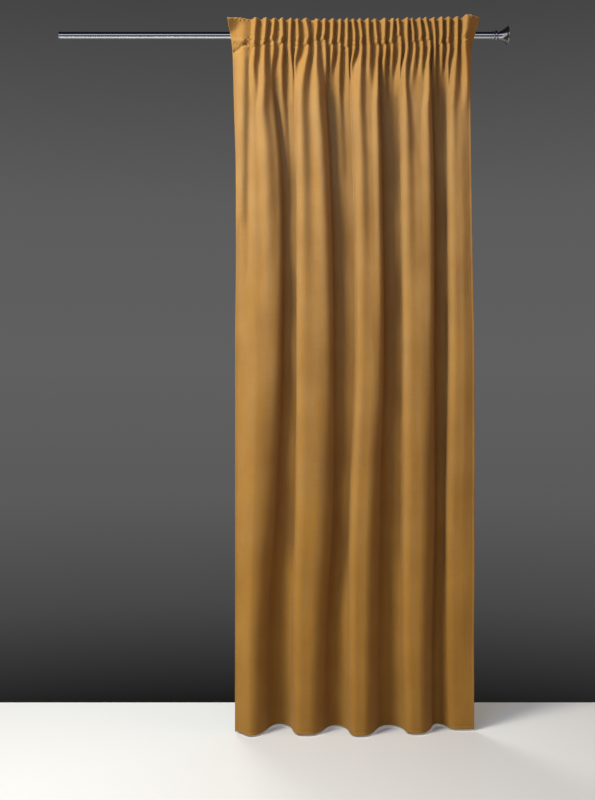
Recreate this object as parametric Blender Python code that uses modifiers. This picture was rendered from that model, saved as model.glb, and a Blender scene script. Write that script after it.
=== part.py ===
"""Blackout curtain with a pencil-pleat heading, hung on a chrome curtain pole.

Metres, +Z up. The origin is on the pole's axis, above the middle of the curtain.
The pole runs along X, the room is on the -Y side and the wall on the +Y side.
"""
import math
from collections import namedtuple

import bpy
import numpy as np

MM = 0.001
GAP = 0.0003

# Pole and its fittings
POLE_LEFT = -1.121
POLE_RIGHT = 0.522
POLE_RADIUS = 0.014
POLE_WALL = 0.001
SPIGOT_RADIUS = POLE_RADIUS - POLE_WALL - GAP
SPIGOT_LENGTH = 0.018
CAP_THICKNESS = 0.003
NECK_LENGTH = 0.0245
TRUMPET_LENGTH = 0.0355
TRUMPET_BASE_RADIUS = 0.0145
TRUMPET_END_RADIUS = 0.035
TURNED_STEPS = 48

# Curtain: heights are measured up from the pole's axis
FLAT_WIDTH = 1.400
TOP_Z = 0.058
TOP_SAG = 0.009
STITCH_Z = -0.048
HEM_Z = -2.633
CLOTH_THICKNESS = 0.002
HEADING_BACK_Y = -0.0175
PLEAT_DEPTH = 0.0165
PLEAT_LEAN = 0.010
FIRST_PLEAT_HALF = 0.024
LAST_PLEAT_HALF = 0.022
LOW_PLEAT_HALF = 0.036
FOLD_MIDDLE = 0.009
COLUMNS_PER_PLEAT = 5
ROW_HEIGHTS = (
    TOP_Z, -0.010, STITCH_Z, -0.090, -0.150, -0.240, -0.360, -0.520, -0.850, -1.300, -1.850,
    -2.300, HEM_Z,
)

# Heading tape and the loops on its back
TAPE_THICKNESS = 0.001
TAPE_SETBACK = 0.0023
TAPE_TOP_Z = 0.040
TAPE_BOTTOM_Z = -0.046
TAPE_END_INSET = 0.006
LOOP_WIDTH = 0.016
LOOP_THICKNESS = 0.001
LOOP_SEAM_Z = 0.026
LOOP_TAB = 0.008
LOOP_SLACK = 0.0016
FIRST_LOOP_PLEAT = 1
PLEATS_PER_LOOP = 3

# Side edges of the hanging cloth, in millimetres, and how far each curls back
Side = namedtuple("Side", "height left right left_curl right_curl")
SIDES = [Side(*row) for row in (
    (60, -480, 474, 0, 0),
    (30, -477, 466, 0, 0),
    (0, -471, 456, 0, 0),
    (-48, -465, 443, 2, 2),
    (-126, -461, 436, 4, 4),
    (-216, -458, 434, 8, 6),
    (-386, -453, 435, 14, 8),
    (-500, -450, 437, 18, 10),
    (-783, -449, 441, 22, 10),
    (-1198, -452, 449, 26, 10),
    (-2633, -452, 452, 45, 3),
)]

# The big folds, left to right, one row for each front or back face, in millimetres:
# where the face ends on its right at six heights, how far forward it stands at four, and
# how much further forward its right side stands than its left, above the lower third
EDGE_HEIGHTS = (-48, -500, -1198, -1765, -2369, -2633)
DEPTH_HEIGHTS = (-500, -1198, -1765, -2633)
Face = namedtuple("Face", "name right_edge forward slant")
FACES = [Face(*row) for row in (
    ("front a", (-330, -280, -276, -300, -334, -334), (26, 30, 40, 62), 0),
    ("back ab", (-231, -220, -219, -222, -237, -236), (-28, -42, -52, -66), 4),
    ("front b", (-125, -97, -82, -84, -115, -117), (34, 38, 44, 52), -4),
    ("back bc", (-19, -2, 7, -15, -27, -25), (-30, -42, -46, -50), 5),
    ("front c", (85, 99, 109, 92, 80, 77), (34, 38, 46, 62), -4),
    ("back cd", (170, 174, 183, 182, 177, 186), (-34, -44, -48, -54), 2),
    ("front d", (283, 296, 299, 299, 287, 288), (30, 38, 42, 41), -6),
    ("back de", (347, 351, 357, 349, 347, 353), (-38, -50, -56, -70), 2),
    ("front e", (443, 437, 449, 449, 450, 452), (26, 24, 10, -8), -5),
)]

# Pencil pleats, left to right, in millimetres: place along the stitches, how far below the
# stitches the ridge runs, and how far it drifts sideways on the way
Pleat = namedtuple("Pleat", "at reach drift")
PLEATS = [Pleat(*row) for row in (
    (-380, 240, -2), (-338, 1300, -10), (-308, 170, -1), (-274, 600, 0), (-242, 300, 12),
    (-215, 150, -6), (-177, 1300, -29), (-143, 1300, 4), (-115, 240, 2), (-83, 140, -9),
    (-53, 700, -5), (-28, 260, 11), (0, 150, -13), (26, 1200, -12), (51, 190, 3),
    (81, 1100, 1), (111, 350, 4), (142, 150, -3), (170, 260, -5), (196, 1100, -8),
    (221, 240, -21), (251, 150, -2), (279, 900, -9), (302, 400, 6), (329, 130, 3),
    (355, 240, -12), (389, 480, -26), (419, 330, -4),
)]


def smooth(t):
    """Smooth step from 0 to 1."""
    t = np.clip(t, 0.0, 1.0)
    return t * t * (3 - 2 * t)


def through(height, heights, values):
    """Smooth curve over height through a table's values."""
    order = np.argsort(heights)
    heights = np.asarray(heights, float)[order]
    values = np.asarray(values, float)[order]
    slopes = np.diff(values) / np.diff(heights)
    tangents = np.concatenate([slopes[:1], (slopes[1:] + slopes[:-1]) / 2, slopes[-1:]])
    tangents[1:-1][slopes[1:] * slopes[:-1] <= 0] = 0
    i = int(np.clip(np.searchsorted(heights, height) - 1, 0, len(slopes) - 1))
    span = heights[i + 1] - heights[i]
    t = min(max((height - heights[i]) / span, 0), 1)
    return (
        (2 * t**3 - 3 * t**2 + 1) * values[i]
        + (t**3 - 2 * t**2 + t) * span * tangents[i]
        + (3 * t**2 - 2 * t**3) * values[i + 1]
        + (t**3 - t**2) * span * tangents[i + 1]
    )


def flat_position(gathered):
    """Place on the flat cloth of a place along the drawn-up stitches."""
    left = FLAT_LEFT * MM
    right = FACES[-1].right_edge[0] * MM
    return (np.asarray(gathered) * MM - left) / (right - left) * FLAT_WIDTH


FLAT_LEFT = SIDES[3].left
FACE_EDGES = flat_position([FLAT_LEFT] + [face.right_edge[0] for face in FACES])
PLEAT_CENTRES = flat_position([pleat.at for pleat in PLEATS])


def below_stitches(z):
    """Distance below the heading's lower line of stitches."""
    return max(0.0, STITCH_Z - z)


def quarter_fold(turn, flat_share, roundness, steps=24):
    """Quarter of a fold from the middle of its face to its steepest place.

    The cloth's direction turns to the angle turn: after a flat stretch and quickly where
    the fold is boxy, evenly where it is round.
    """
    t = (np.arange(steps) + 0.5) / steps
    boxy = smooth((t - flat_share) / (1 - flat_share))
    angle = turn * (boxy + (np.sin(math.pi / 2 * t) - boxy) * roundness)
    across = np.concatenate([[0], np.cumsum(np.cos(angle))])
    forward = np.concatenate([[0], np.cumsum(np.sin(angle))])
    return np.linspace(0, 1, steps + 1), across / across[-1], forward / forward[-1]


def side_value(column, z):
    """Value of one of the side edges' columns at a height, in metres."""
    heights = [side.height for side in SIDES]
    return through(z / MM, heights, [getattr(side, column) for side in SIDES]) * MM


def face_table(z):
    """Edges and forward places of the big folds' faces at one height, in metres."""
    edges = [through(z / MM, EDGE_HEIGHTS, face.right_edge) * MM for face in FACES[:-1]]
    forward = [through(z / MM, DEPTH_HEIGHTS, face.forward) * MM for face in FACES]
    ends = side_value("left", z), side_value("right", z)
    return np.array([ends[0]] + edges + [ends[1]]), np.array(forward)


def big_folds(z, u):
    """Across and forward places, at height z, of the points u along the flat cloth."""
    depth = below_stitches(z)
    growth = smooth(depth / 0.28) ** 0.65
    roundness = smooth((depth - 0.9) / 0.9)
    near_hem = smooth((depth - 1.9) / 0.68)
    edges, forward = face_table(z)
    forward = forward * growth
    middle_u = (FACE_EDGES[1:] + FACE_EDGES[:-1]) / 2
    middle_x = (edges[1:] + edges[:-1]) / 2
    x = np.interp(u, [0, middle_u[0], middle_u[-1], FLAT_WIDTH],
                  [edges[0], middle_x[0], middle_x[-1], edges[-1]])
    left_curl = side_value("left_curl", z) * smooth(1 - u / middle_u[0])
    beyond = (u - middle_u[-1]) / (FLAT_WIDTH - middle_u[-1])
    right_curl = side_value("right_curl", z) * smooth(beyond)
    f = np.where(u < middle_u[0], forward[0] - left_curl, forward[-1] - right_curl)
    slants = [face.slant * MM * growth * (1 - roundness) for face in FACES]
    for k in range(1, len(FACES)):
        edge, edge_u = edges[k], FACE_EDGES[k]
        if forward[k] > forward[k - 1]:
            turn = math.radians(94 - 20 * near_hem)
            shapes = quarter_fold(turn, 0.8, near_hem), quarter_fold(turn, 0.25, 0.0)
        else:
            turn = math.radians(84 - 26 * roundness)
            shapes = [quarter_fold(turn, 0.35, roundness)] * 2
        sides = ((k - 1, 1, forward[k - 1] + slants[k - 1] / 2),
                 (k, -1, forward[k] - slants[k] / 2))
        half = (sides[0][2] + sides[1][2]) / 2
        for (j, sign, level), (t_table, across, rise) in zip(sides, shapes):
            t = sign * (u - middle_u[j]) / abs(edge_u - middle_u[j])
            inside = (t > 0) & (t <= 1)
            t = t[inside]
            x[inside] = middle_x[j] + (edge - middle_x[j]) * np.interp(t, t_table, across)
            f[inside] = (forward[j] + (level - forward[j]) * smooth(t)
                         + (half - level) * np.interp(t, t_table, rise))
    evenly = np.interp(u, FACE_EDGES, edges)
    x = evenly + (x - evenly) * smooth(depth / 0.18)
    return x, f


def pleat_ridges(z, u):
    """How far the pencil pleats stand out from the big folds' faces."""
    depth = below_stitches(z)
    height = np.zeros_like(u)
    last = len(PLEATS) - 1
    for i, pleat in enumerate(PLEATS):
        before = (PLEAT_CENTRES[i] - PLEAT_CENTRES[i - 1]) / 2 if i else FIRST_PLEAT_HALF
        after = (PLEAT_CENTRES[i + 1] - PLEAT_CENTRES[i]) / 2 if i < last else LAST_PLEAT_HALF
        centre = PLEAT_CENTRES[i] + 1.5 * pleat.drift * MM * smooth(depth / 0.25)
        half = np.where(u < centre, before, after)
        half += (LOW_PLEAT_HALF - half) * smooth(depth / 0.4)
        t = np.clip(np.abs(u - centre) / half, 0, 1)
        fade = (1 - smooth(depth / (pleat.reach * MM))) * (1 - 0.35 * smooth(depth / 0.35))
        height += PLEAT_DEPTH * fade * (0.5 + 0.5 * np.cos(math.pi * t))
    return height


def cloth_section(z, u):
    """Across and forward places of the cloth's middle layer at one height."""
    x, f = big_folds(z, u)
    f = f + pleat_ridges(z, u)
    lean = smooth((TOP_Z - z) / 0.09) * (1 - smooth((-0.035 - z) / 0.04))
    inner = smooth(u / 0.09) * smooth((FLAT_WIDTH - u) / 0.06)
    x = x - PLEAT_LEAN * lean * inner
    return x, f + FOLD_MIDDLE * smooth(below_stitches(z) / 0.5)


def sheet_normals(points):
    """Unit normals, in plan, of the rows of points of a hanging sheet, towards the room."""
    step = np.gradient(points, axis=1)
    normals = np.stack([step[..., 1], -step[..., 0], np.zeros(step.shape[:2])], axis=-1)
    return normals / np.linalg.norm(normals, axis=-1, keepdims=True)


def cloth_columns():
    """Places along the flat cloth: five to a pleat, and a few on the plain ends."""
    first, last = PLEAT_CENTRES[0] - FIRST_PLEAT_HALF, PLEAT_CENTRES[-1] + LAST_PLEAT_HALF
    left = np.linspace(0, first, 6)[:-1]
    right = np.linspace(last, FLAT_WIDTH, 3)[1:]
    pleated = [np.linspace(first, PLEAT_CENTRES[0], 3)[:-1]]
    for here, following in zip(PLEAT_CENTRES[:-1], PLEAT_CENTRES[1:]):
        pleated.append(np.linspace(here, following, COLUMNS_PER_PLEAT + 1)[:-1])
    pleated.append(np.linspace(PLEAT_CENTRES[-1], last, 3))
    return np.concatenate([left] + pleated + [right])


def top_edge(u):
    """Height of the cloth's top edge: a slight sag between its ends."""
    share = u / FLAT_WIDTH
    return TOP_Z - TOP_SAG * np.sin(math.pi * share) ** 0.7 + 0.004 * share**3


def material(name, colour, roughness, metallic=0.0):
    made = bpy.data.materials.new(name)
    made.use_nodes = True
    shader = made.node_tree.nodes["Principled BSDF"]
    shader.inputs["Base Color"].default_value = (*colour, 1.0)
    shader.inputs["Roughness"].default_value = roughness
    shader.inputs["Metallic"].default_value = metallic
    made.diffuse_color = (*colour, 1.0)
    return made


def place(name, mesh, finish, collection):
    made = bpy.data.objects.new(name, mesh)
    made.data.materials.append(finish)
    collection.objects.link(made)
    return made


def sheet_object(name, points, thickness, finish, collection):
    """A hanging sheet: a grid of points, given its thickness by Solidify."""
    rows, columns = points.shape[:2]
    mesh = bpy.data.meshes.new(name)
    faces = [
        (r * columns + c, (r + 1) * columns + c, (r + 1) * columns + c + 1, r * columns + c + 1)
        for r in range(rows - 1)
        for c in range(columns - 1)
    ]
    mesh.from_pydata([tuple(p) for p in points.reshape(-1, 3)], [], faces)
    made = place(name, mesh, finish, collection)
    solid = made.modifiers.new("thickness", "SOLIDIFY")
    solid.thickness = thickness
    solid.offset = 0
    return made


def built_row(z, u):
    """Row of points of the cloth at one of its ROW_HEIGHTS; the top one follows its edge."""
    x, f = cloth_section(z, u)
    heights = top_edge(u) if z == TOP_Z else np.full_like(u, z)
    return np.stack([x, HEADING_BACK_Y - f, heights], axis=-1)


def row_between(z, u):
    """Row of points of the cloth as built, which is straight between its ROW_HEIGHTS."""
    above = max(i for i, height in enumerate(ROW_HEIGHTS) if height >= z)
    upper, lower = built_row(ROW_HEIGHTS[above], u), built_row(ROW_HEIGHTS[above + 1], u)
    share = (upper[:, 2:] - z) / (upper[:, 2:] - lower[:, 2:])
    return upper + (lower - upper) * share


def curtain_cloth(finish, collection):
    u = cloth_columns()
    points = np.array([built_row(z, u) for z in ROW_HEIGHTS])
    sheet_object("curtain_cloth", points, CLOTH_THICKNESS, finish, collection)


def tape_points():
    """Grid of the heading tape, which lies against the back of the pleats."""
    u = cloth_columns()
    u[0], u[-1] = TAPE_END_INSET, FLAT_WIDTH - TAPE_END_INSET
    points = np.array([row_between(z, u) for z in (TAPE_TOP_Z, ROW_HEIGHTS[1], TAPE_BOTTOM_Z)])
    return points - sheet_normals(points) * TAPE_SETBACK


def heading_tape(finish, collection):
    sheet_object("heading_tape", tape_points(), TAPE_THICKNESS, finish, collection)


def loop_path(tape_y):
    """Side view of one loop, as y and z: sewn tab, over the pole, round it and back."""
    start_y = tape_y + TAPE_THICKNESS / 2 + GAP + LOOP_THICKNESS / 2
    chord_allowance = 0.00015
    radius = POLE_RADIUS + GAP + LOOP_THICKNESS / 2 + chord_allowance + LOOP_SLACK
    path = [(start_y, LOOP_SEAM_Z + LOOP_TAB), (start_y, LOOP_SEAM_Z)]
    for degrees in (90, 75, 60, 40, 15, -15, -50, -90):
        angle = math.radians(degrees)
        path.append((radius * math.cos(angle), radius * math.sin(angle) - LOOP_SLACK))
    path += [(start_y, -LOOP_SEAM_Z), (start_y, -LOOP_SEAM_Z - LOOP_TAB)]
    return path


def tape_loops(finish, collection):
    """Loops on the back of the tape, at the pleats' valleys, that the pole runs through."""
    u = cloth_columns()
    tape = tape_points()
    pleats = range(FIRST_LOOP_PLEAT, len(PLEATS) - 1, PLEATS_PER_LOOP)
    for number, i in enumerate(pleats, start=1):
        valley = (PLEAT_CENTRES[i] + PLEAT_CENTRES[i + 1]) / 2
        x = float(np.interp(valley, u, row_between(0.0, u)[:, 0]))
        behind = np.abs(tape[..., 0] - x) < LOOP_WIDTH / 2
        path = loop_path(float(tape[..., 1][behind].max()))
        points = np.array([
            [(x + side * LOOP_WIDTH / 2, y, z) for y, z in path] for side in (-1, 1)
        ])
        sheet_object(f"tape_loop_{number}", points, LOOP_THICKNESS, finish, collection)


def turned(name, profile, x, finish, collection, flip=False):
    """A piece turned about the pole's axis from a closed profile of (along, radius)."""
    mesh = bpy.data.meshes.new(name)
    count = len(profile)
    on_axis = profile[0][1] == 0
    edges = [(i, i + 1) for i in range(count - 1)]
    if not on_axis:
        edges.append((count - 1, 0))
    mesh.from_pydata([(radius, 0, along) for along, radius in profile], edges, [])
    made = place(name, mesh, finish, collection)
    screw = made.modifiers.new("turn", "SCREW")
    screw.axis = "Z"
    screw.steps = screw.render_steps = TURNED_STEPS
    screw.use_merge_vertices = True
    screw.merge_threshold = 0.00001
    made.rotation_euler = (0, -math.pi / 2 if flip else math.pi / 2, 0)
    made.location = (x, 0, 0)
    return made


def pole_tube(finish, collection):
    length = POLE_RIGHT - POLE_LEFT
    inner = POLE_RADIUS - POLE_WALL
    profile = [(length, POLE_RADIUS), (0, POLE_RADIUS), (0, inner), (length, inner)]
    turned("pole_tube", profile, POLE_LEFT, finish, collection)


def pole_end_cap(finish, collection):
    """Push-in cap: a disc on the tube's end and a spigot inside it."""
    profile = [
        (SPIGOT_LENGTH, 0), (SPIGOT_LENGTH, SPIGOT_RADIUS), (0, SPIGOT_RADIUS), (0, POLE_RADIUS),
        (-CAP_THICKNESS + 0.0008, POLE_RADIUS), (-CAP_THICKNESS, POLE_RADIUS - 0.0008),
        (-CAP_THICKNESS, 0),
    ]
    turned("pole_end_cap", profile, POLE_LEFT - GAP, finish, collection)


def finial_neck(finish, collection):
    """Stepped collar: spigot in the tube, ring, cove, round bead and cove."""
    ring, cove, bead = 0.0158, 0.0115, 0.0195
    bead_middle, bead_half = 0.0155, 0.0045
    outline = [(0, SPIGOT_RADIUS), (0, ring - 0.0006), (0.0006, ring), (0.0062, ring)]
    outline += [(0.0070, ring - 0.0010), (0.0078, cove), (0.0102, cove)]
    for degrees in (165, 135, 105, 75, 45, 15):
        angle = math.radians(degrees)
        outline.append((
            bead_middle + bead_half * math.cos(angle),
            bead - bead_half * 0.9 + bead_half * 0.9 * math.sin(angle),
        ))
    outline += [(0.0208, cove), (NECK_LENGTH, cove)]
    profile = [(-SPIGOT_LENGTH, 0), (-SPIGOT_LENGTH, SPIGOT_RADIUS)] + outline
    profile.append((NECK_LENGTH, 0))
    turned("finial_neck", profile[::-1], POLE_RIGHT + GAP, finish, collection)


def finial_trumpet(finish, collection):
    """Flared end: a hollow curve from its base to a thin rim, with a shallow dished face."""
    rim = 0.0016
    dish = 0.004
    profile = [(0, 0), (0, TRUMPET_BASE_RADIUS - 0.0008), (0.0008, TRUMPET_BASE_RADIUS)]
    for step in range(1, 11):
        t = step / 10
        radius = TRUMPET_BASE_RADIUS + (TRUMPET_END_RADIUS - TRUMPET_BASE_RADIUS) * t**1.45
        profile.append((0.0008 + (TRUMPET_LENGTH - rim - 0.0008) * t, radius))
    profile += [
        (TRUMPET_LENGTH, TRUMPET_END_RADIUS), (TRUMPET_LENGTH, TRUMPET_END_RADIUS - 0.003),
        (TRUMPET_LENGTH - dish, TRUMPET_END_RADIUS - 0.008), (TRUMPET_LENGTH - dish, 0),
    ]
    turned("finial_trumpet", profile[::-1], POLE_RIGHT + NECK_LENGTH + 2 * GAP, finish, collection)


def main():
    for existing in list(bpy.data.objects):
        bpy.data.objects.remove(existing, do_unlink=True)
    collection = bpy.data.collections.new("blackout_curtain_on_pole")
    bpy.context.scene.collection.children.link(collection)
    ochre_cloth = material("ochre velvet cloth", (0.50, 0.25, 0.055), 0.9)
    white_tape = material("white woven tape", (0.80, 0.78, 0.72), 0.85)
    chrome = material("polished chrome", (0.80, 0.80, 0.82), 0.12, 1.0)
    curtain_cloth(ochre_cloth, collection)
    heading_tape(white_tape, collection)
    tape_loops(white_tape, collection)
    pole_tube(chrome, collection)
    pole_end_cap(chrome, collection)
    finial_neck(chrome, collection)
    finial_trumpet(chrome, collection)


main()
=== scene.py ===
# Blackout curtain with a pencil-pleat heading, hung on a chrome curtain pole.
# Everything is in metres, +Z up. The origin is on the pole's axis above the curtain's middle,
# the pole runs along X, the room is on the -Y side and the wall on the +Y side.
import math
from collections import namedtuple

import bpy
import numpy as np
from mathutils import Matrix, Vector


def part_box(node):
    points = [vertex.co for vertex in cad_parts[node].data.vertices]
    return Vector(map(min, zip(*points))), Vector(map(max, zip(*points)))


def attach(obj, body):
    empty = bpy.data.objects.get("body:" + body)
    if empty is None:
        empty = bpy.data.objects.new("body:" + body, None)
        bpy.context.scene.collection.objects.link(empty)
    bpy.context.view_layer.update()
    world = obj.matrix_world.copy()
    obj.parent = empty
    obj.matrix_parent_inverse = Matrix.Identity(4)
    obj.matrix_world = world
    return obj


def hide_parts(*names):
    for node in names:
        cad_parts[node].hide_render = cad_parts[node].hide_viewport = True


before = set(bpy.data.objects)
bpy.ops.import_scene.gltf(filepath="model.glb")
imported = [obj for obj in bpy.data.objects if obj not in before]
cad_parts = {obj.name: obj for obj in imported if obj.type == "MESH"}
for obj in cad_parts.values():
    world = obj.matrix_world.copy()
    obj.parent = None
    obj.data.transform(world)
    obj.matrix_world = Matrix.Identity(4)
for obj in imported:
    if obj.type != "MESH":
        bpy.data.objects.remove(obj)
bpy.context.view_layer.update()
mm = 0.001
mixShare, mixFirst, mixSecond = 0, 6, 7  # a Mix node's inputs when it mixes colours, by place
mixResult = 2  # and its output


# sRGB hex to linear red, green, blue and alpha
def linearColour(code):
    values = [int(code[i:i + 2], 16) / 255 for i in (0, 2, 4)]
    linear = [v / 12.92 if v <= 0.04045 else ((v + 0.055) / 1.055) ** 2.4 for v in values]
    return (*linear, 1.0)


# one shader node with its settings, its input values and what feeds its inputs
def addNode(tree, kind, inputs=None, links=None, **settings):
    node = tree.nodes.new("ShaderNode" + kind)
    for name, value in settings.items():
        setattr(node, name, value)
    for name, value in (inputs or {}).items():
        node.inputs[name].default_value = value
    for name, source in (links or {}).items():
        tree.links.new(source, node.inputs[name])
    return node


def newMaterial(name, **inputs):
    material = bpy.data.materials.new(name)
    material.use_nodes = True
    tree = material.node_tree
    shader = tree.nodes["Principled BSDF"]
    for socket, value in inputs.items():
        shader.inputs[socket.replace("_", " ")].default_value = value
    return material, tree, shader


# 0 to 1 with a soft start and a soft end
def smooth(t):
    t = np.clip(t, 0.0, 1.0)
    return t * t * (3 - 2 * t)


# smooth curve over height through a table's values
def through(height, heights, values):
    order = np.argsort(heights)
    heights = np.asarray(heights, float)[order]
    values = np.asarray(values, float)[order]
    slopes = np.diff(values) / np.diff(heights)
    tangents = np.concatenate([slopes[:1], (slopes[1:] + slopes[:-1]) / 2, slopes[-1:]])
    tangents[1:-1][slopes[1:] * slopes[:-1] <= 0] = 0
    i = int(np.clip(np.searchsorted(heights, height) - 1, 0, len(slopes) - 1))
    span = heights[i + 1] - heights[i]
    t = min(max((height - heights[i]) / span, 0), 1)
    return (
        (2 * t**3 - 3 * t**2 + 1) * values[i]
        + (t**3 - 2 * t**2 + t) * span * tangents[i]
        + (3 * t**2 - 2 * t**3) * values[i + 1]
        + (t**3 - t**2) * span * tangents[i + 1]
    )


waves = {
    "count": 7,
    "fewestTurns": 0.55,  # in the length that is asked for
    "mostTurns": 1.6,
    "summedHeight": 3.2,
}


# soft unevenness over the flat cloth, about -1 to 1, as a few seeded waves of about the
# lengths given as across and down
def unevenness(u, z, across, down, seed):
    rng = np.random.default_rng(seed)
    total = np.zeros(np.broadcast(u, z).shape)
    for wave in range(waves["count"]):
        turns = rng.uniform(waves["fewestTurns"], waves["mostTurns"], 2)
        turns *= rng.choice([-1, 1], 2)
        total += np.sin(2 * math.pi * (u / across * turns[0] + z / down * turns[1] + rng.random()))
    return total / waves["summedHeight"]


# the cloth, from its folded top edge to its hem
curtain = {
    "flatWidth": 1.400,
    "topZ": 0.058,
    "stitchZ": -0.048,  # lower line of stitches of the heading
    "hemZ": -2.633,
    "thickness": 0.0020,
    "backY": -0.0175,  # middle of the cloth at the pleats' valleys
    "tapeClear": 0.0006,  # the heading goes no further back than this, to clear its tape
    "topSag": 0.009,
    "sagFlatness": 0.7,
    "topRise": 0.004,  # at the right end
    "cornerDrop": 0.006,  # at the left end, over the width below
    "cornerDropWidth": 0.055,
    "topRoll": 0.005,  # the folded top edge leans back over this height
    "topRollBack": 0.0045,
    "hemStitch": 0.011,
    "hemGroove": 0.0010,
    "hemGrooveHalf": 0.0022,
    "sideHem": 0.014,
    "sideGroove": 0.0008,
    "sideGrooveHalf": 0.0025,
    "columnsPerPleat": 12,
    "sideColumns": (0.0, 0.002, 0.006, 0.011),  # from the left side
    "lastColumns": (0.012, 0.007, 0.003, 0.0),  # from the right side
    "panelColumns": 22,  # over the flat panel at the left
    "hemRows": (0.030, 0.018, 0.0135, 0.011, 0.0085, 0.005, 0.002, 0.0),
}

# side edges in millimetres, and how far each curls back
Side = namedtuple("Side", "height left right leftCurl rightCurl")
sides = [Side(*row) for row in (
    (60, -480, 474, 0, 0),
    (30, -477, 466, 0, 0),
    (0, -471, 456, 0, 0),
    (-48, -465, 443, 2, 2),
    (-126, -461, 436, 4, 4),
    (-216, -458, 434, 8, 6),
    (-386, -453, 435, 14, 8),
    (-500, -450, 437, 18, 10),
    (-783, -449, 441, 22, 10),
    (-1198, -452, 449, 26, 10),
    (-2633, -452, 452, 45, 3),
)]

# big folds, left to right, a row for each front or back face, in millimetres: its right
# edge at six heights, how far forward it stands at four, and how much further forward its
# right side stands than its left, above the lower third
edgeHeights = (-48, -500, -1198, -1765, -2369, -2633)
depthHeights = (-500, -1198, -1765, -2633)
Face = namedtuple("Face", "name rightEdge forward slant")
faces = [Face(*row) for row in (
    ("front a", (-330, -280, -276, -300, -334, -334), (26, 30, 40, 62), 0),
    ("back ab", (-231, -220, -219, -222, -237, -236), (-28, -42, -52, -66), 4),
    ("front b", (-125, -97, -82, -84, -115, -117), (34, 38, 44, 52), -4),
    ("back bc", (-19, -2, 7, -15, -27, -25), (-30, -42, -46, -50), 5),
    ("front c", (85, 99, 109, 92, 80, 77), (34, 38, 46, 62), -4),
    ("back cd", (170, 174, 183, 182, 177, 186), (-34, -44, -48, -54), 2),
    ("front d", (283, 296, 299, 299, 287, 288), (30, 38, 42, 41), -6),
    ("back de", (347, 351, 357, 349, 347, 353), (-34, -44, -50, -66), 2),
    ("front e", (443, 437, 449, 449, 450, 452), (26, 24, 10, -8), -5),
)]

# how the folds change down the cloth, in metres below the stitches, and the angles that
# their sides turn through, in degrees: a side that comes forward overhangs a little
fold = {
    "grownBy": 0.28,
    "growthPower": 0.65,
    "widthBy": 0.18,  # the gathers open out to the folds' own widths by here
    "middle": 0.009,
    "middleBy": 0.5,
    "roundFrom": 0.9,
    "roundOver": 0.9,
    "hemFrom": 1.9,
    "hemOver": 0.68,
    "forwardTurn": 94,
    "lastForwardTurn": 82,
    "hemTurn": 20,  # less turn near the hem
    "backTurn": 84,
    "roundTurn": 26,  # less turn where the folds are round
    "backFace": 0.8,  # flat share of a face, beside a side that comes forward
    "frontFace": 0.25,
    "softFace": 0.35,  # beside a side that goes back
}

stitchedLeft = sides[3].left  # the row at the stitches
stitchedRight = faces[-1].rightEdge[0]


# place on the flat cloth of a place along the drawn-up stitches, in millimetres
def flatPosition(gathered):
    left, right = stitchedLeft * mm, stitchedRight * mm
    return (np.asarray(gathered) * mm - left) / (right - left) * curtain["flatWidth"]


faceEdges = flatPosition([stitchedLeft] + [face.rightEdge[0] for face in faces])


def belowStitches(z):
    return max(0.0, curtain["stitchZ"] - z)


# quarter of a fold, from the middle of its face to its steepest place: boxy where it is
# flat and then turns quickly, round where it turns evenly
def quarterFold(turn, flatShare, roundness, steps=24):
    t = (np.arange(steps) + 0.5) / steps
    boxy = smooth((t - flatShare) / (1 - flatShare))
    angle = turn * (boxy + (np.sin(math.pi / 2 * t) - boxy) * roundness)
    across = np.concatenate([[0], np.cumsum(np.cos(angle))])
    forward = np.concatenate([[0], np.cumsum(np.sin(angle))])
    return np.linspace(0, 1, steps + 1), across / across[-1], forward / forward[-1]


def sideValue(column, z):
    return through(z / mm, [side.height for side in sides],
                   [getattr(side, column) for side in sides]) * mm


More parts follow.
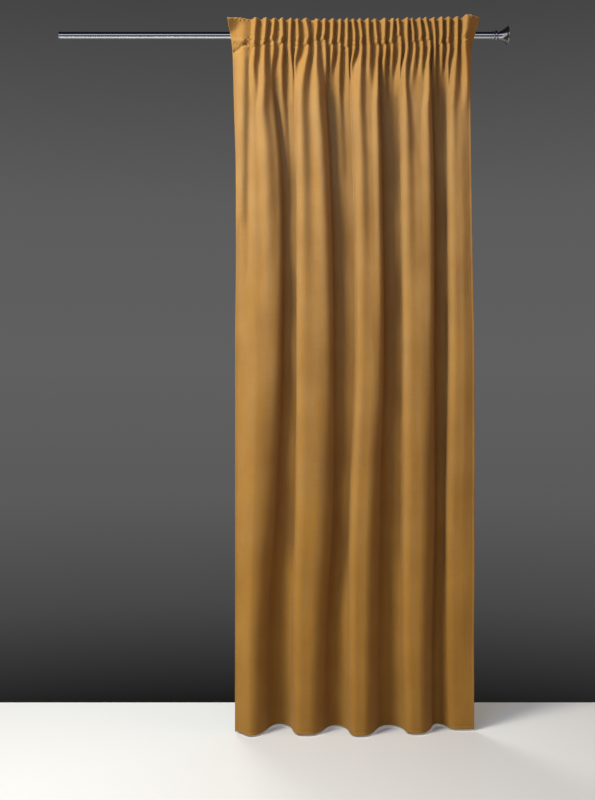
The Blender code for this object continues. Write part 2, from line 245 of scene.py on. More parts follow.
# across and forward places, at height z, of the points u along the flat cloth
def bigFolds(z, u):
    depth = belowStitches(z)
    growth = smooth(depth / fold["grownBy"]) ** fold["growthPower"]
    roundness = smooth((depth - fold["roundFrom"]) / fold["roundOver"])
    nearHem = smooth((depth - fold["hemFrom"]) / fold["hemOver"])
    inner = [through(z / mm, edgeHeights, face.rightEdge) * mm for face in faces[:-1]]
    edges = np.array([sideValue("left", z)] + inner + [sideValue("right", z)])
    forward = growth * mm * np.array(
        [through(z / mm, depthHeights, face.forward) for face in faces])
    middleU = (faceEdges[1:] + faceEdges[:-1]) / 2
    middleX = (edges[1:] + edges[:-1]) / 2
    x = np.interp(u, [0, middleU[0], middleU[-1], curtain["flatWidth"]],
                  [edges[0], middleX[0], middleX[-1], edges[-1]])
    beyond = (u - middleU[-1]) / (curtain["flatWidth"] - middleU[-1])
    leftCurl = sideValue("leftCurl", z) * smooth(1 - u / middleU[0])
    rightCurl = sideValue("rightCurl", z) * smooth(beyond)
    f = np.where(u < middleU[0], forward[0] - leftCurl, forward[-1] - rightCurl)
    slants = [face.slant * mm * growth * (1 - roundness) for face in faces]
    for k in range(1, len(faces)):
        comingForward = forward[k] > forward[k - 1]
        if comingForward:
            last = k == len(faces) - 1
            steepest = fold["lastForwardTurn"] if last else fold["forwardTurn"]
            turn = math.radians(steepest - fold["hemTurn"] * nearHem)
            shapes = [quarterFold(turn, fold["backFace"], nearHem),
                      quarterFold(turn, fold["frontFace"], 0.0)]
        else:
            turn = math.radians(fold["backTurn"] - fold["roundTurn"] * roundness)
            shapes = [quarterFold(turn, fold["softFace"], roundness)] * 2
        halves = ((k - 1, 1, forward[k - 1] + slants[k - 1] / 2),
                  (k, -1, forward[k] - slants[k] / 2))
        half = (halves[0][2] + halves[1][2]) / 2
        for (j, sign, level), shape in zip(halves, shapes):
            t = sign * (u - middleU[j]) / abs(faceEdges[k] - middleU[j])
            inside = (t > 0) & (t <= 1)
            t = t[inside]
            x[inside] = middleX[j] + (edges[k] - middleX[j]) * np.interp(t, *shape[:2])
            f[inside] = (forward[j] + (level - forward[j]) * smooth(t)
                         + (half - level) * np.interp(t, shape[0], shape[2]))
    evenly = np.interp(u, faceEdges, edges)
    return evenly + (x - evenly) * smooth(depth / fold["widthBy"]), f


# pencil pleats, left to right, in millimetres: where the ridge stands at six heights, how
# far below the stitches it runs, and its lip, the little sideways tuck above the stitches
pleatHeights = (48, -12, -58, -126, -216, -292)
Pleat = namedtuple("Pleat", "top middle stitches below low lowest reach lip lipHeight")
pleats = [Pleat(*row) for row in (
    (-375, -380, -379, -385, -382, -382, 240, 3, -50),
    (-336, -340, -342, -343, -345, -349, 1300, 5, -43),
    (-305, -310, -308, -314, -309, -309, 170, 7, -26),
    (-275, -274, -274, -279, -278, -274, 600, 9, -39),
    (-242, -245, -245, -237, -233, -230, 300, 0, 0),
    (-217, -215, -218, -229, -225, -221, 150, 0, 0),
    (-187, -177, -177, -188, -203, -206, 1300, 9, -43),
    (-142, -146, -145, -147, -142, -139, 1300, 4, -24),
    (-115, -116, -113, -109, -109, -113, 240, 7, -24),
    (-84, -86, -85, -91, -92, -92, 140, 7, -43),
    (-55, -57, -56, -60, -61, -58, 700, 4, -33),
    (-30, -30, -28, -24, -19, -17, 260, 4, -50),
    (-7, -1, -2, -15, -16, -13, 150, 0, 0),
    (18, 25, 25, 20, 16, 14, 1200, 3, -41),
    (49, 50, 54, 52, 54, 54, 190, 0, 0),
    (75, 81, 89, 86, 84, 82, 1100, 5, -41),
    (112, 110, 115, 110, 115, 115, 350, 6, -41),
    (143, 139, 141, 140, 139, 139, 150, 6, -37),
    (161, 170, 173, 168, 165, 165, 260, 6, -7),
    (196, 195, 197, 188, 186, 188, 1100, 0, 0),
    (214, 222, 226, 219, 206, 200, 240, 4, -31),
    (244, 250, 253, 250, 249, 249, 150, 6, -26),
    (265, 278, 282, 276, 276, 270, 900, 3, -26),
    (296, 301, 302, 301, 307, 308, 400, 0, 0),
    (326, 327, 327, 330, 332, 332, 130, 5, -39),
    (353, 352, 354, 347, 343, 343, 240, 5, -35),
    (385, 385, 384, 377, 369, 363, 480, 0, 0),
    (418, 413, 410, 416, 419, 415, 330, 4, -20),
)]

# the pleats' section: a cosine ridge, raised to a power that makes it sharper
pencil = {
    "depth": 0.0265,
    "narrowest": 0.011,  # half widths
    "firstHalf": 0.024,
    "lastHalf": 0.075,
    "lowHalf": 0.036,  # of a pleat that runs on down the cloth
    "lowHalfBy": 0.4,
    "sharpness": 1.35,
    "softerBelow": 0.25,
    "softerBy": 0.20,
    "softerTop": 0.5,
    "softerFromZ": 0.034,
    "softerOver": 0.018,
    "shallower": 0.35,  # share of the depth that is lost below the stitches
    "shallowerBy": 0.35,
    "lastTaller": 1.5,
    "uneven": 0.12,  # share by which the pleats' depths differ
    "unevenStep": 2.4,
    "lipShare": 0.8,
    "lipAbove": 26,  # in millimetres, as are the next three
    "lipBelow": 9,
    "tuckBelow": 9,
    "tuckHalf": 5,
    "tuckShare": 0.18,  # share of the depth that is lost in the tuck below a lip
    "blendPower": 3,  # the higher, the less neighbouring ridges add up
    "offSides": 0.018,  # ridges keep this far off the steep sides of the folds
    "offSidesBy": 0.25,
}

pleatCentres = flatPosition([pleat.stitches for pleat in pleats])


# the lip slides sideways slowly on the way down, and springs back just below itself
def lipShift(pleat, z):
    if not pleat.lip:
        return 0.0
    above = z / mm - pleat.lipHeight
    away = above / pencil["lipAbove"] if above > 0 else -above / pencil["lipBelow"]
    return -pencil["lipShare"] * pleat.lip * mm * smooth(1 - away)


# places of the pleats' ridges along the flat cloth at height z
def ridgePlaces(z):
    tracked = max(z, pleatHeights[-1] * mm)
    u = np.linspace(0, curtain["flatWidth"], round(curtain["flatWidth"] / mm) + 1)
    x = np.maximum.accumulate(bigFolds(tracked, u)[0])
    places = []
    for pleat in pleats:
        at = through(tracked / mm, pleatHeights, pleat[:len(pleatHeights)]) * mm
        places.append(np.interp(at + lipShift(pleat, z), x, u))
    places = np.array(places)
    margin = pencil["offSides"] * smooth(belowStitches(z) / pencil["offSidesBy"])
    for face, edge in zip(faces[1:], faceEdges[1:]):
        close = np.abs(places - edge) < margin
        places[close] = edge + (margin if face.name.startswith("front") else -margin)
    return places


# how far the pencil pleats stand out from the big folds' faces
def pleatRidges(z, u):
    depth = belowStitches(z)
    places = ridgePlaces(z)
    total = np.zeros_like(u)
    last = len(pleats) - 1
    least = pencil["narrowest"]
    lowered = 1 - pencil["shallower"] * smooth(depth / pencil["shallowerBy"])
    sharp = (pencil["sharpness"] - pencil["softerBelow"] * smooth(depth / pencil["softerBy"])
             - pencil["softerTop"] * smooth((z - pencil["softerFromZ"]) / pencil["softerOver"]))
    for i, pleat in enumerate(pleats):
        before = (places[i] - places[i - 1]) / 2 if i else pencil["firstHalf"]
        after = (places[i + 1] - places[i]) / 2 if i < last else pencil["lastHalf"]
        half = np.where(u < places[i], max(before, least), max(after, least))
        half += (pencil["lowHalf"] - half) * smooth(depth / pencil["lowHalfBy"])
        t = np.clip(np.abs(u - places[i]) / half, 0, 1)
        fade = (1 - smooth(depth / (pleat.reach * mm))) * lowered
        if pleat.lip:
            below = (z / mm - pleat.lipHeight + pencil["tuckBelow"]) / pencil["tuckHalf"]
            fade *= 1 - pencil["tuckShare"] * math.exp(-below * below)
        differing = 1 + pencil["uneven"] * math.sin(pencil["unevenStep"] * i)
        tall = pencil["lastTaller"] if i == last else differing
        ridge = fade * tall * (0.5 + 0.5 * np.cos(math.pi * t)) ** sharp
        total += ridge ** pencil["blendPower"]
    return pencil["depth"] * total ** (1 / pencil["blendPower"])


# the top left corner leans forward beyond a line across it, in millimetres
cornerLean = {"from": (-412, 56), "to": (-471, 6), "slope": 0.75, "softness": 3}


def leanForward(x, z):
    (x0, z0), (x1, z1) = cornerLean["from"], cornerLean["to"]
    length = math.hypot(x1 - x0, z1 - z0)
    beyond = ((x / mm - x0) * (z1 - z0) - (z / mm - z0) * (x1 - x0)) / length
    soft = cornerLean["softness"]
    return cornerLean["slope"] * soft * np.logaddexp(0, beyond / soft) * mm


# creases and soft bumps on the ends and the folds, in millimetres: from, to, half its
# width, and how far it stands forward
Crease = namedtuple("Crease", "name fromX fromZ toX toZ width forward")
creases = [Crease(*row) for row in (
    ("panel crest", -419, 56, -421, -30, 20, 9),
    ("panel crest below", -420, -60, -430, -700, 17, 11),
    ("dip of fold a", -398, -110, -402, -900, 13, -5),
    ("puff above the stitches", -458, -26, -422, -30, 11, 7),
    ("stitched crease", -462, -70, -412, -41, 7, -8),
    ("panel wrinkle", -462, 4, -430, -4, 6, 2),
    ("wrinkle by fold c", 34, -420, 62, -485, 12, -2),
    ("wrinkle by fold d", 226, -380, 246, -480, 12, -2),
)]


# creases and bumps: a soft ridge or groove along each straight line
def creaseRelief(x, z):
    total = np.zeros_like(x)
    for crease in creases:
        start = np.array([crease.fromX, crease.fromZ]) * mm
        along = np.array([crease.toX, crease.toZ]) * mm - start
        t = ((x - start[0]) * along[0] + (z - start[1]) * along[1]) / (along @ along)
        t = np.clip(t, 0, 1)
        away = np.hypot(x - start[0] - t * along[0], z - start[1] - t * along[1])
        total += crease.forward * mm * np.exp(-(away / (crease.width * mm)) ** 2)
    return total


# heights of the cloth's rows, close together at the heading and at the hem: so many steps
# from each height to the next, and then the rows of the hem
def clothRows():
    top, stitch, hem = curtain["topZ"], curtain["stitchZ"], curtain["hemZ"]
    hemRows = hem + np.array(curtain["hemRows"])
    heights = (top, top - 0.008, -0.012, stitch - 0.022, -0.320, -1.000, hemRows[0])
    steps = (4, 8, 18, 25, 25, 29)
    parts = [np.linspace(upper, lower, count, endpoint=False)
             for upper, lower, count in zip(heights, heights[1:], steps)]
    return np.concatenate(parts + [hemRows])


# places of the cloth's columns along the flat cloth
def clothColumns():
    first = pleatCentres[0] - pencil["firstHalf"]
    fromRight = curtain["flatWidth"] - np.array(curtain["lastColumns"])
    parts = [np.array(curtain["sideColumns"][:-1]),
             np.linspace(curtain["sideColumns"][-1], first, curtain["panelColumns"])]
    stops = np.concatenate([[first], pleatCentres, fromRight[:1]])
    for here, following in zip(stops[:-1], stops[1:]):
        parts.append(np.linspace(here, following, curtain["columnsPerPleat"] + 1)[1:])
    return np.concatenate(parts + [fromRight[1:]])


# height of the cloth's top edge, with its slight sag
def topEdge(u):
    share = u / curtain["flatWidth"]
    sag = curtain["topSag"] * np.sin(math.pi * share) ** curtain["sagFlatness"]
    drop = curtain["cornerDrop"] * smooth(1 - u / curtain["cornerDropWidth"])
    return curtain["topZ"] - sag + curtain["topRise"] * share**3 - drop


# soft unevenness of the cloth: how far it stands, where it fades, and the waves' length
# across and down and their seed
uneven = {
    "pucker": 0.0020,
    "puckerLeast": 0.0001,
    "puckerEndZ": -0.075,
    "puckerOver": 0.03,
    "puckerWaves": (0.030, 0.022, 4),
    "sway": 0.0022,
    "swayBy": 0.3,
    "swayWaves": (0.30, 0.60, 9),
    "ripple": 0.0004,
    "rippleBy": 0.1,
    "rippleWaves": (0.10, 0.25, 12),
}


def clothPoints():
    rows, u = clothRows(), clothColumns()
    edge = topEdge(u) - curtain["topZ"]
    fromEdge = np.minimum(u, curtain["flatWidth"] - u)
    points = np.zeros((len(rows), len(u), 3))
    for r, z in enumerate(rows):
        depth = belowStitches(z)
        x, f = bigFolds(z, u)
        f = f + pleatRidges(z, u) + fold["middle"] * smooth(depth / fold["middleBy"])
        f += creaseRelief(x, z) + leanForward(x, z)
        inHeading = smooth((z - uneven["puckerEndZ"]) / uneven["puckerOver"])
        pucker = uneven["pucker"] * inHeading + uneven["puckerLeast"]
        f += pucker * unevenness(u, z, *uneven["puckerWaves"])
        f += (uneven["sway"] * smooth(depth / uneven["swayBy"])
              * unevenness(u, z, *uneven["swayWaves"]))
        f += (uneven["ripple"] * smooth(depth / uneven["rippleBy"])
              * unevenness(u, z, *uneven["rippleWaves"]))
        fromStitch = (z - curtain["hemZ"] - curtain["hemStitch"]) / curtain["hemGrooveHalf"]
        f -= curtain["hemGroove"] * np.exp(-fromStitch * fromStitch)
        fromSideHem = (fromEdge - curtain["sideHem"]) / curtain["sideGrooveHalf"]
        f -= curtain["sideGroove"] * np.exp(-fromSideHem * fromSideHem)
        roll = max(0.0, (z - curtain["topZ"] + curtain["topRoll"]) / curtain["topRoll"])
        f -= curtain["topRollBack"] * roll**2
        if z > curtain["stitchZ"]:
            f = np.maximum(f, -curtain["tapeClear"])
        lift = edge * smooth((z - curtain["stitchZ"]) / (curtain["topZ"] - curtain["stitchZ"]))
        points[r] = np.stack([x, curtain["backY"] - f, z + lift], axis=-1)
    return points, rows, u


# grid of points as a mesh, with the flat cloth's own metres as its UVs
def sheetMesh(name, points, flatU, flatV, thickness, material):
    rows, columns = points.shape[:2]
    corner = np.arange(rows * columns).reshape(rows, columns)
    quads = np.stack([corner[:-1, :-1], corner[1:, :-1], corner[1:, 1:], corner[:-1, 1:]], axis=-1)
    mesh = bpy.data.meshes.new(name)
    mesh.from_pydata(points.reshape(-1, 3).tolist(), [], quads.reshape(-1, 4).tolist())
    flat = np.stack(np.broadcast_arrays(flatU[None, :], flatV[:, None]), axis=-1).reshape(-1, 2)
    layer = mesh.uv_layers.new(name="flatCloth")
    layer.data.foreach_set("uv", flat[quads.reshape(-1)].ravel())
    mesh.polygons.foreach_set("use_smooth", [True] * len(mesh.polygons))
    mesh.materials.append(material)
    piece = bpy.data.objects.new(name, mesh)
    bpy.context.scene.collection.objects.link(piece)
    solid = piece.modifiers.new("thickness", "SOLIDIFY")
    solid.thickness = thickness
    solid.offset = 0
    return piece


velvet = {
    "sheenGreyPale": "8D7148",  # painted sheen: the greyer tone painted on, standing in for light from above on the pile
    "sheenGreyDark": "7D603A",
    "ochrePale": "8F6B31",  # the cloth's deeper ochre, where little sheen is painted
    "ochreDark": "7F5B26",
    "threadSpacing": 2.6 * mm,  # real threads are about 0.4 mm; drawn this coarse to show
    "threadLength": 60 * mm,
    "threadShare": 0.55,
    "threadRelief": 0.4 * mm,
    "patch": 166.667 * mm,
    "shadeRange": (0.6, 1.5),
    "wrinkle": 26 * mm,
    "wrinkleRelief": 1.2 * mm,
    "reliefStrength": 0.35,
    "streakWidth": 24 * mm,  # brushed marks in the pile
    "streakLength": 220 * mm,
    "streakShare": 1.2,
    "nearHem": (-2.3, -0.6),  # height, and the share of painted sheen there
    "belowHeading": (-0.2, 0.32),
    "gathersStart": (-0.35, 0.32),  # the painted sheen fades again towards the heading's gathers
    "inGathers": (-0.05, -0.2),
}


# woven polyester velvet with a short pile: matt, with a soft sheen at grazing angles, faint
# thread lines both ways, brushed streaks, and painted sheen: a greyer tone painted by height
def velvetMaterial():
    material, tree, shader = newMaterial(
        "woven polyester velvet", Roughness=0.88, IOR=1.5, Specular_IOR_Level=0.2,
        Sheen_Weight=0.08, Sheen_Roughness=0.4, Sheen_Tint=linearColour("F4E6D2"))
    flat = addNode(tree, "UVMap", uv_map="flatCloth").outputs["UV"]
    fine, long = 1 / velvet["threadSpacing"], 1 / velvet["threadLength"]
    across = addNode(tree, "Mapping", {"Scale": (long, fine, 1)}, {"Vector": flat})
    down = addNode(tree, "Mapping", {"Scale": (fine, long, 1)}, {"Vector": flat})
    soft = {"Scale": 1.0, "Detail": 2.0}
    wefts = addNode(tree, "TexNoise", soft, {"Vector": across.outputs["Vector"]})
    warps = addNode(tree, "TexNoise", soft, {"Vector": down.outputs["Vector"]})
    threads = addNode(tree, "Math", links={0: wefts.outputs["Fac"], 1: warps.outputs["Fac"]},
                      operation="ADD")

    patches = addNode(tree, "TexNoise", {"Scale": 1 / velvet["patch"], "Detail": 2.0},
                      {"Vector": flat})
    level = addNode(tree, "Math", {1: velvet["threadShare"]}, {0: threads.outputs[0]},
                    operation="MULTIPLY")
    mixed = addNode(tree, "Math", links={0: level.outputs[0], 1: patches.outputs["Fac"]},
                    operation="ADD")
    deepest, lightest = velvet["shadeRange"]
    shade = addNode(tree, "MapRange", {"From Min": deepest, "From Max": lightest},
                    {"Value": mixed.outputs[0]})
    byShade = {mixShare: shade.outputs["Result"]}
    sheenGreyColour = addNode(tree, "Mix", {mixFirst: linearColour(velvet["sheenGreyDark"]),
                                     mixSecond: linearColour(velvet["sheenGreyPale"])},
                       byShade, data_type="RGBA")
    ochreColour = addNode(tree, "Mix", {mixFirst: linearColour(velvet["ochreDark"]),
                                     mixSecond: linearColour(velvet["ochrePale"])},
                       byShade, data_type="RGBA")

    streakScale = (1 / velvet["streakWidth"], 1 / velvet["streakLength"], 1)
    brushed = addNode(tree, "Mapping", {"Scale": streakScale}, {"Vector": flat})
    streaks = addNode(tree, "TexNoise", soft, {"Vector": brushed.outputs["Vector"]})
    place = addNode(tree, "SeparateXYZ", links={0: flat}).outputs["Y"]
    # painted sheen: a greyer tone by height, most just below the heading, least at the hem
    sheenRamps = []
    for start, end in (("nearHem", "belowHeading"), ("gathersStart", "inGathers")):
        (startZ, startShare), (endZ, endShare) = velvet[start], velvet[end]
        sheenRamps.append(addNode(tree, "MapRange", {"From Min": startZ, "From Max": endZ,
                                                "To Min": startShare, "To Max": endShare},
                             {"Value": place}).outputs["Result"])
    lower = addNode(tree, "Math", links=dict(enumerate(sheenRamps)), operation="MINIMUM")
    # the greyer share: the painted sheen by height, plus the brushed streaks
    sheenAndStreaks = addNode(tree, "Math", {1: velvet["streakShare"]},
                    {0: streaks.outputs["Fac"], 2: lower.outputs[0]}, operation="MULTIPLY_ADD")
    colour = addNode(tree, "Mix", links={mixShare: sheenAndStreaks.outputs[0],
                                         mixFirst: ochreColour.outputs[mixResult],
                                         mixSecond: sheenGreyColour.outputs[mixResult]},
                     data_type="RGBA")
    tree.links.new(colour.outputs[mixResult], shader.inputs["Base Color"])

    wrinkles = addNode(tree, "TexNoise", {"Scale": 1 / velvet["wrinkle"], "Detail": 2.0},
                       {"Vector": flat})
    strength = velvet["reliefStrength"]
    threadBump = addNode(tree, "Bump", {"Strength": strength, "Distance": velvet["threadRelief"]},
                         {"Height": threads.outputs[0]})
    clothBump = addNode(tree, "Bump", {"Strength": strength, "Distance": velvet["wrinkleRelief"]},
                        {"Height": wrinkles.outputs["Fac"], "Normal": threadBump.outputs["Normal"]})
    tree.links.new(clothBump.outputs["Normal"], shader.inputs["Normal"])
    return material


points, rowHeights, flatU = clothPoints()
curtainCloth = sheetMesh("curtainCloth", points, flatU, rowHeights, curtain["thickness"],
                         velvetMaterial())
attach(curtainCloth, "root")
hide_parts("curtain_cloth")
print("curtain cloth:", points.shape[0], "rows,", points.shape[1], "columns")


# the heading tape, sewn across the back of the pleats
tape = {
    "thickness": 0.001,
    "setBack": 0.0022,
    "topZ": 0.040,
    "bottomZ": -0.046,
    "endInset": 0.006,
    "thread": "EFEBE0",
    "gap": "DAD5C8",
    "ribSpacing": 3.927 * mm,
    "ribRelief": 0.3 * mm,
    "grain": 4.5455 * mm,
}
bandsPerUnit = 10 / (2 * math.pi)  # a diagonal Wave texture's bands along X at scale 1


# woven polyester tape, off-white and matt, with the slanting ribs of its weave
def tapeMaterial():
    material, tree, shader = newMaterial("woven polyester tape", Roughness=0.8, IOR=1.5,
                                         Specular_IOR_Level=0.3)
    flat = addNode(tree, "UVMap", uv_map="flatCloth").outputs["UV"]
    ribScale = 1 / (bandsPerUnit * tape["ribSpacing"])
    ribs = addNode(tree, "TexWave", {"Scale": ribScale, "Distortion": 0.6}, {"Vector": flat},
                   bands_direction="DIAGONAL")
    grain = addNode(tree, "TexNoise", {"Scale": 1 / tape["grain"]}, {"Vector": flat})
    colour = addNode(tree, "Mix", {mixFirst: linearColour(tape["gap"]),
                                   mixSecond: linearColour(tape["thread"])},
                     {mixShare: grain.outputs["Fac"]}, data_type="RGBA")
    tree.links.new(colour.outputs[mixResult], shader.inputs["Base Color"])
    bump = addNode(tree, "Bump", {"Strength": 0.4, "Distance": tape["ribRelief"]},
                   {"Height": ribs.outputs["Fac"]})
    tree.links.new(bump.outputs["Normal"], shader.inputs["Normal"])
    return material


# rows of the tape taken from the cloth's own points, and set back behind them
def tapePoints():
    inside = (flatU >= tape["endInset"]) & (flatU <= curtain["flatWidth"] - tape["endInset"])
    between = (rowHeights <= tape["topZ"]) & (rowHeights >= tape["bottomZ"])
    placed = points[between][:, inside]
    step = np.gradient(placed, axis=1)
    normals = np.stack([step[..., 1], -step[..., 0], np.zeros(step.shape[:2])], axis=-1)
    normals /= np.linalg.norm(normals, axis=-1, keepdims=True)
    return placed - normals * tape["setBack"], rowHeights[between], flatU[inside]


woven = tapeMaterial()
tapeGrid, tapeHeights, tapeU = tapePoints()
headingTape = sheetMesh("headingTape", tapeGrid, tapeU, tapeHeights, tape["thickness"], woven)
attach(headingTape, "root")
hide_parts("heading_tape")


# the flat loops on the tape's back, which the pole runs through
loop = {
    "thickness": 0.001,
    "seamZ": 0.026,
    "seamHalf": 0.003,
    "tab": 0.008,
    "slack": 0.0016,
    "poleRadius": 0.014,
    "gap": 0.00045,
    "arcPoints": 19,
    "columns": 7,
}


# one loop, as wide and as far back as its CAD solid: sewn tab, over the pole and back
def loopPiece(node):
    low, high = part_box(node)
    startY = low[1] + loop["thickness"] / 2
    radius = loop["poleRadius"] + loop["gap"] + loop["thickness"] / 2 + loop["slack"]
    tabHeights = [loop["seamZ"] + loop["tab"], loop["seamZ"] + loop["seamHalf"], loop["seamZ"]]
    path = [(startY, z) for z in tabHeights]
    for degrees in np.linspace(90, -90, loop["arcPoints"]):
        angle = math.radians(degrees)
        path.append((radius * math.cos(angle), radius * math.sin(angle) - loop["slack"]))
    path += [(startY, -z) for z in reversed(tabHeights)]
    path = np.array(path)
    along = np.concatenate([[0], np.cumsum(np.linalg.norm(np.diff(path, axis=0), axis=1))])
    across = np.linspace(low[0], high[0], loop["columns"])
    grid = np.array([[(x, y, z) for x in across] for y, z in path])
    name = node.replace("tape_loop_", "tapeLoop")
    piece = sheetMesh(name, grid, across, along, loop["thickness"], woven)
    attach(piece, "root")
    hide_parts(node)
    return piece, along[-1], high[0] - low[0]


loopNodes = sorted(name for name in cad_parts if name.startswith("tape_loop_"))
loops = [loopPiece(node) for node in loopNodes]
print("heading tape and", len(loops), "loops")


# the pole, its cap at the far end and the spigots that fit inside it
pole = {
    "left": -1.121,
    "right": 0.522,
    "radius": loop["poleRadius"],
    "wall": 0.001,
    "gap": 0.0003,
    "spigotLength": 0.018,
    "capDisc": 0.003,
    "corner": 0.0003,
    "capCorner": 0.0008,
    "steps": 128,
    "haze": 71.429 * mm,  # patches of polishing haze
    "hazeRoughness": (0.06, 0.09),
}
pole["spigot"] = pole["radius"] - pole["wall"] - pole["gap"]


# a closed profile of (along, radius), with each corner off the axis rounded by a short arc
def roundedProfile(profile, size):
    shareOfSide, arcSteps = 0.45, 4
    rounded = []
    for i, point in enumerate(profile):
        here = Vector(point)
        if here[1] == 0:
            rounded.append(tuple(here))
            continue
        before = Vector(profile[i - 1]) - here
        after = Vector(profile[(i + 1) % len(profile)]) - here
        reach = min(size, shareOfSide * before.length, shareOfSide * after.length)
        start = here + before.normalized() * reach
        end = here + after.normalized() * reach
        for step in range(arcSteps + 1):
            t = step / arcSteps
            rounded.append(tuple(start.lerp(here, t).lerp(here.lerp(end, t), t)))
    return rounded


# a chrome piece turned about the pole's axis, from x on, with its corners rounded
def turnedPiece(name, node, profile, x, corner):
    profile = roundedProfile(profile, corner)
    mesh = bpy.data.meshes.new(name)
    edges = [(i, i + 1) for i in range(len(profile) - 1)]
    openBore = profile[0][1] > 0
    if openBore:
        edges.append((len(profile) - 1, 0))
    mesh.from_pydata([(radius, 0, along) for along, radius in profile], edges, [])
    mesh.materials.append(chrome)
    piece = bpy.data.objects.new(name, mesh)
    bpy.context.scene.collection.objects.link(piece)
    screw = piece.modifiers.new("turn", "SCREW")
    screw.steps = screw.render_steps = pole["steps"]
    screw.use_merge_vertices = True
    screw.merge_threshold = 0.00001
    screw.use_normal_calculate = True
    piece.rotation_euler = (0, math.pi / 2, 0)
    piece.location = (x, 0, 0)
    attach(piece, "root")
    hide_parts(node)


# bright chrome plate on drawn steel: a near mirror, cool, with faint polishing haze
def chromeMaterial():
    material, tree, shader = newMaterial("chrome-plated steel", Base_Color=linearColour("D2D4D6"),
                                         Metallic=1.0, Roughness=0.07)
    where = addNode(tree, "TexCoord")
    haze = addNode(tree, "TexNoise", {"Scale": 1 / pole["haze"], "Detail": 1.0},
                   {"Vector": where.outputs["Object"]})
    clearest, haziest = pole["hazeRoughness"]
    rough = addNode(tree, "MapRange", {"To Min": clearest, "To Max": haziest},
                    {"Value": haze.outputs["Fac"]})
    tree.links.new(rough.outputs["Result"], shader.inputs["Roughness"])
    return material


def tubeProfile():
    length, outer = pole["right"] - pole["left"], pole["radius"]
    inner = outer - pole["wall"]
    return [(length, outer), (0, outer), (0, inner), (length, inner)]


def capProfile():
    spigotEnd, face = pole["spigotLength"], -pole["capDisc"]
    return [(spigotEnd, 0), (spigotEnd, pole["spigot"]), (0, pole["spigot"]), (0, pole["radius"]),
            (face, pole["radius"]), (face, 0)]


chrome = chromeMaterial()
turnedPiece("poleTube", "pole_tube", tubeProfile(), pole["left"], pole["corner"])
turnedPiece("poleEndCap", "pole_end_cap", capProfile(), pole["left"] - pole["gap"],
            pole["capCorner"])

# the finial's neck: a ring against the pole, and a bead standing on a cove
neck = {
    "length": 0.0245,
    "ring": 0.0158,
    "ringLength": 0.0062,
    "step": 0.0008,
    "stepDown": 0.001,
    "cove": 0.0115,
    "bead": 0.0195,
    "beadAt": 0.0155,
    "beadHalf": 0.0045,
    "beadFoot": 0.0053,
    "beadRise": 0.9,  # as a share of its half width
    "corner": 0.0003,
}


def neckProfile():
    ringEnd, step = neck["ringLength"], neck["step"]
    outline = [
        (0, pole["spigot"]),
        (0, neck["ring"]),
        (ringEnd, neck["ring"]),
        (ringEnd + step, neck["ring"] - neck["stepDown"]),
        (ringEnd + 2 * step, neck["cove"]),
        (neck["beadAt"] - neck["beadFoot"], neck["cove"]),
    ]
    rise = neck["beadHalf"] * neck["beadRise"]
    for degrees in range(165, 0, -15):
        angle = math.radians(degrees)
        outline.append((neck["beadAt"] + neck["beadHalf"] * math.cos(angle),
                        neck["bead"] - rise + rise * math.sin(angle)))
    outline += [(neck["beadAt"] + neck["beadFoot"], neck["cove"]), (neck["length"], neck["cove"])]
    spigotEnd = -pole["spigotLength"]
    return [(neck["length"], 0)] + outline[::-1] + [(spigotEnd, pole["spigot"]), (spigotEnd, 0)]


turnedPiece("finialNeck", "finial_neck", neckProfile(), pole["right"] + pole["gap"],
            neck["corner"])

# the flared trumpet, with a shallow dish in its end
trumpet = {
    "length": 0.0355,
    "base": 0.0145,
    "baseLength": 0.0008,
    "end": 0.035,
    "flare": 1.45,
    "flareSteps": 24,
    "rim": 0.0016,
    "rimWidth": 0.003,
    "dish": 0.004,
    "dishInset": 0.008,
    "corner": 0.0005,
}


def trumpetProfile():
    length, base, end = trumpet["length"], trumpet["base"], trumpet["end"]
    outline = [(0, 0), (0, base)]
    for step in range(1, trumpet["flareSteps"] + 1):
        t = step / trumpet["flareSteps"]
        outline.append((trumpet["baseLength"] + (length - trumpet["rim"] - trumpet["baseLength"]) * t,
                        base + (end - base) * t ** trumpet["flare"]))
    dish = length - trumpet["dish"]
    outline += [(length, end), (length, end - trumpet["rimWidth"]),
                (dish, end - trumpet["dishInset"]), (dish, 0)]
    return outline[::-1]


turnedPiece("finialTrumpet", "finial_trumpet", trumpetProfile(),
            pole["right"] + neck["length"] + 2 * pole["gap"], trumpet["corner"])
print("pole and its fittings")


# floor, light and camera
studio = {
    "floorZ": -2.641,
    "floorX": (-3.2, 2.8),
    "floorY": (-2.4, 0.32),
    "floor": "C6CACA",
    "roomTint": "A8A6A4",  # the room in front of the curtain is darker than the wall behind
    "roomAndWall": (-0.6, 0.2),  # the directions, by their Y, over which one turns to the other
    "cameraAt": (-0.217, -3.6, -1.387),
    "lens": 42.55,
}

# grey of the surroundings by height: 0 straight down, 0.5 level, 1 straight up
wallShades = (
    (0.0, "8A8A8A"),
    (0.22, "6A6A6A"),
    (0.345, "141414"),
    (0.373, "363637"),
    (0.397, "484849"),
    (0.448, "5A5A5B"),
    (0.520, "606061"),
    (0.600, "5C5C5D"),
    (0.690, "454546"),
    (0.860, "202022"),
)


def addFloor():
    material, tree, shader = newMaterial("painted studio floor", Roughness=0.6,
                                         Base_Color=linearColour(studio["floor"]))
    mesh = bpy.data.meshes.new("studioFloor")
    (left, right), (front, back) = studio["floorX"], studio["floorY"]
    corners = [(left, front, 0), (right, front, 0), (right, back, 0), (left, back, 0)]
    mesh.from_pydata(corners, [], [(0, 1, 2, 3)])
    mesh.materials.append(material)
    floor = bpy.data.objects.new("studioFloor", mesh)
    floor.location = (0, 0, studio["floorZ"])
    bpy.context.scene.collection.objects.link(floor)


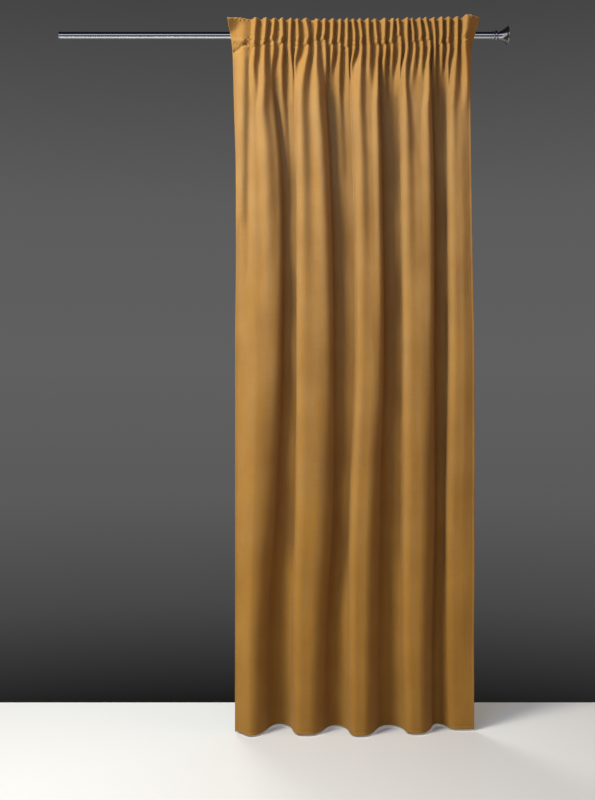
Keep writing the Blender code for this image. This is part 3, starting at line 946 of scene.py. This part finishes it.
# a round soft light, or a panel where a width along X is given as well; the chrome mirrors
# only a mirrored one
def addLight(name, place, target, size, power, colour="FFFFFF", width=None, mirrored=False):
    data = bpy.data.lights.new(name, "AREA")
    data.shape, data.size, data.energy = "DISK", size, power
    if width:
        data.shape, data.size, data.size_y = "RECTANGLE", width, size
    data.color = linearColour(colour)[:3]
    light = bpy.data.objects.new(name, data)
    light.location = place
    light.rotation_euler = (Vector(target) - Vector(place)).to_track_quat("-Z", "Y").to_euler()
    light.visible_camera = False
    light.visible_glossy = mirrored
    bpy.context.scene.collection.objects.link(light)


# grey surroundings: pale underfoot, dark just above the floor, and darker again towards the
# ceiling than at eye level
def addSurroundings():
    world = bpy.context.scene.world or bpy.data.worlds.new("studio")
    bpy.context.scene.world = world
    world.use_nodes = True
    tree = world.node_tree
    where = addNode(tree, "TexCoord")
    axes = addNode(tree, "SeparateXYZ", links={0: where.outputs["Generated"]})
    half = addNode(tree, "MapRange", {"From Min": -1.0, "From Max": 1.0}, {"Value": axes.outputs["Z"]})
    ramp = addNode(tree, "ValToRGB", links={"Fac": half.outputs["Result"]})
    stops = ramp.color_ramp.elements
    stops.remove(stops[1])
    stops[0].position, stops[0].color = wallShades[0][0], linearColour(wallShades[0][1])
    for height, shade in wallShades[1:]:
        stop = stops.new(height)
        stop.color = linearColour(shade)
    inRoom, atWall = studio["roomAndWall"]
    share = addNode(tree, "MapRange", {"From Min": inRoom, "From Max": atWall},
                    {"Value": axes.outputs["Y"]})
    tint = addNode(tree, "Mix", {mixFirst: linearColour(studio["roomTint"]),
                                 mixSecond: linearColour("FFFFFF")},
                   {mixShare: share.outputs["Result"]}, data_type="RGBA")
    tinted = addNode(tree, "Mix", {mixShare: 1.0},
                     {mixFirst: ramp.outputs["Color"], mixSecond: tint.outputs[mixResult]},
                     data_type="RGBA", blend_type="MULTIPLY")
    tree.links.new(tinted.outputs[mixResult], tree.nodes["Background"].inputs["Color"])
    tree.nodes["Background"].inputs["Strength"].default_value = 1.0


def addCamera():
    data = bpy.data.cameras.new("camera")
    data.lens = studio["lens"]
    camera = bpy.data.objects.new("camera", data)
    camera.location = studio["cameraAt"]
    camera.rotation_euler = (math.pi / 2, 0, 0)
    bpy.context.scene.collection.objects.link(camera)
    bpy.context.scene.camera = camera


addFloor()
addSurroundings()
addLight("key", (-2.65, -2.3, 1.4), (0.2, 0.0, -0.4), 1.5, 330, "FFF6E8")
addLight("fill", (-0.3, -2.8, 0.5), (-0.3, 0.0, 0.2), 1.5, 20, "E0E6FF", width=5.2, mirrored=True)
addLight("window", (-2.6, -2.0, -0.6), (0.5, 0.0, -0.6), 4.0, 6, "F4F6FF", width=1.0, mirrored=True)
addLight("side", (-2.1, -0.95, -1.0), (0.1, 0.0, -1.0), 1.2, 17, "FFFDF8")
addLight("kicker", (2.6, -1.1, 0.6), (0.2, 0.0, 0.0), 0.8, 22, "FFC890")
addLight("behind", (0.4, 1.5, -0.9), (0.0, 0.3, -2.6), 1.5, 5)
addLight("back", (-1.6, 3.4, 0.5), (0.0, 0.0, -1.0), 2.0, 110, "FFFCF6")
addLight("low", (0.9, -3.2, -1.7), (0.0, 0.0, -1.9), 1.2, 10, "FFB878")
addLight("top", (-0.8, -2.1, 1.6), (-1.5, -1.0, -2.6), 1.2, 56, "C4D6FF")
addCamera()
bpy.context.scene.view_settings.view_transform = "Standard"
print("floor, light and camera")
